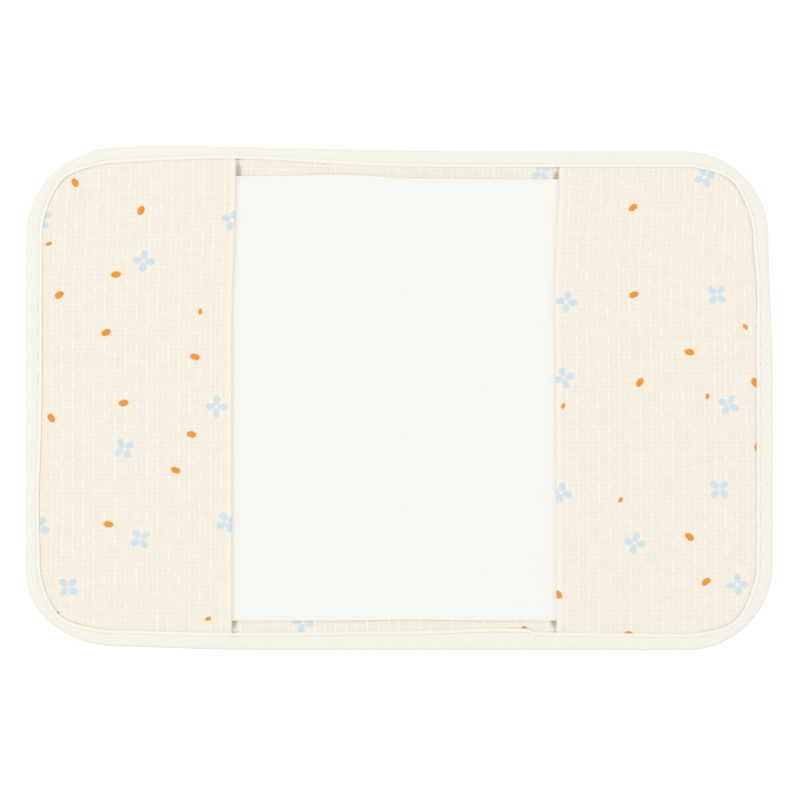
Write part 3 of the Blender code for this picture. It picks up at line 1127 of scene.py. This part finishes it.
class COVER_OT_stage(bpy.types.Operator):
    """White floor, soft light from above and the camera that looks straight down"""

    bl_idname = "cover.stage"
    bl_label = "Stage"
    bl_options = UNDOABLE

    def execute(self, context):
        scene = context.scene
        scene.view_settings.view_transform = "Standard"
        self.floor(scene)
        self.world(scene)
        for name, (place, size, power) in LAMPS.items():
            self.lamp(scene, name, place, size, power)
        self.camera(scene)
        return {"FINISHED"}

    def seen(self, look):
        """1 where the background is looked at, directly, in a reflection or through glass."""
        rays = ("Is Camera Ray", "Is Glossy Ray", "Is Transmission Ray")
        camera, glossy, through = (look.node("ShaderNodeLightPath", output=name) for name in rays)
        return camera.math("MAXIMUM", glossy).math("MAXIMUM", through)

    def floor(self, scene):
        """A wide matt floor just under the cover, pale enough to look white around it."""
        bm = bmesh.new()
        bmesh.ops.create_grid(bm, x_segments=1, y_segments=1, size=4)
        mesh = bpy.data.meshes.new("floor")
        bm.to_mesh(mesh)
        bm.free()
        floor = bpy.data.objects.new("floor", mesh)
        floor.location.z = CAD_BOX[0][2] - 0.05 * MM
        scene.collection.objects.link(floor)
        look = new_material("floor_white")
        glow = look.mix(self.seen(look), (0, 0, 0), (1, 1, 1))
        white = look.finish(
            {
                "Base Color": (0.95, 0.95, 0.95),
                "Roughness": 0.9,
                "Specular IOR Level": 0.0,
                "Emission Color": glow,
                "Emission Strength": 0.35,
            }
        )
        mesh.materials.append(white)

    def world(self, scene):
        scene.world = bpy.data.worlds.new("studio")
        look = Look(scene.world, "Background")
        look.finish({"Color": look.mix(self.seen(look), (0.82, 0.82, 0.82), (1, 1, 1))})

    def lamp(self, scene, name, place, size, power):
        """A softbox that looks at the cover's middle."""
        light = bpy.data.lights.new(name, "AREA")
        light.shape = "RECTANGLE"
        light.size, light.size_y = size
        light.energy = power
        lamp = bpy.data.objects.new(name, light)
        lamp.location = place
        lamp.rotation_euler = (-lamp.location).to_track_quat("-Z", "Y").to_euler()
        scene.collection.objects.link(lamp)

    def camera(self, scene):
        data = bpy.data.cameras.new("camera")
        data.sensor_width = SENSOR_WIDTH
        data.lens = SENSOR_WIDTH * CAMERA_ABOVE / SEEN_WIDTH
        camera = bpy.data.objects.new("camera", data)
        camera.location = (*SEEN_MIDDLE, CAMERA_ABOVE + TAPE_HIGH)
        scene.collection.objects.link(camera)
        scene.camera = camera


OPERATORS = (
    COVER_OT_outer_cover,
    COVER_OT_wadding,
    COVER_OT_lining,
    COVER_OT_insert_sheet,
    COVER_OT_pockets,
    COVER_OT_binding,
    COVER_OT_stitching,
    COVER_OT_stage,
)


class COVER_PT_panel(bpy.types.Panel):
    """The cover's sizes, colours and pieces"""

    bl_idname = "COVER_PT_panel"
    bl_label = "Booklet cover"
    bl_space_type = "VIEW_3D"
    bl_region_type = "UI"
    bl_category = "Booklet cover"

    def draw(self, context):
        for group in (context.scene.cover_sizes, context.scene.cover_colours):
            for name in group.__annotations__:
                self.layout.prop(group, name)
        for operator in OPERATORS:
            self.layout.operator(operator.bl_idname)


CLASSES = (CoverSizes, CoverColours, *OPERATORS, COVER_PT_panel)


def register():
    for cls in CLASSES:
        bpy.utils.register_class(cls)
    bpy.types.Scene.cover_sizes = bpy.props.PointerProperty(type=CoverSizes)
    bpy.types.Scene.cover_colours = bpy.props.PointerProperty(type=CoverColours)


def unregister():
    del bpy.types.Scene.cover_colours
    del bpy.types.Scene.cover_sizes
    for cls in reversed(CLASSES):
        bpy.utils.unregister_class(cls)


def main():
    register()
    bpy.ops.cover.outer_cover()
    bpy.ops.cover.wadding()
    bpy.ops.cover.lining()
    bpy.ops.cover.insert_sheet()
    bpy.ops.cover.pockets()
    bpy.ops.cover.binding()
    bpy.ops.cover.stitching()
    bpy.ops.cover.stage()


if __name__ == "__main__":
    main()
